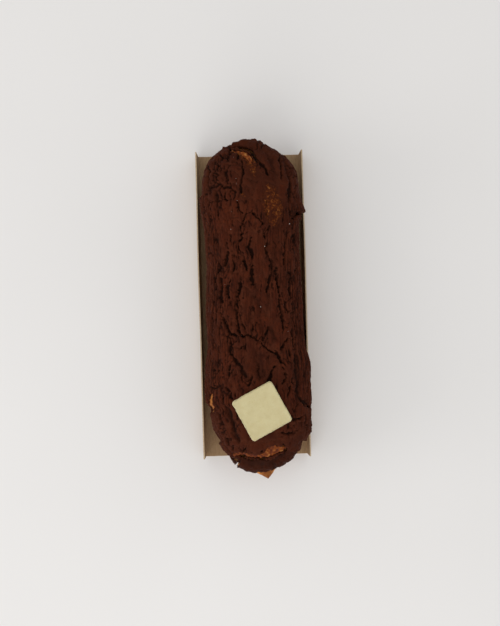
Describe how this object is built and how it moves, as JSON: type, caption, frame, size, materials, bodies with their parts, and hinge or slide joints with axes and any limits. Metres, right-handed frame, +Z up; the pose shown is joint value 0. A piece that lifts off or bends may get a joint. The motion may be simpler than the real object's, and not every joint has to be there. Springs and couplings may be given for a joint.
{
  "type": "chocolate eclair",
  "caption": "Chocolate eclair with a cracked chocolate cookie crust over a choux bun, lying in a folded card tray, with a plain square white chocolate plaque on top.",
  "frame": {"origin": "centre of the card tray's underside, on the surface that it rests on", "axes": "+Y along the eclair towards its plain end, away from the plaque; +Z up; +X to the right seen from the plaque end"},
  "size_m": [0.0473, 0.1472, 0.041],
  "materials": {
    "kraft_card": "matte uncoated kraft card, folded",
    "choux_pastry": "baked choux pastry, golden brown, dry and finely wrinkled",
    "chocolate_craquelin": "baked chocolate cookie crust, matte, cracked into plates",
    "white_chocolate": "moulded white chocolate, smooth satin"
  },
  "bodies": {
    "root": {"card_tray": "kraft_card", "choux_bun": "choux_pastry", "craquelin_crust": "chocolate_craquelin", "white_chocolate_plaque": "white_chocolate"}
  },
  "joints": []
}
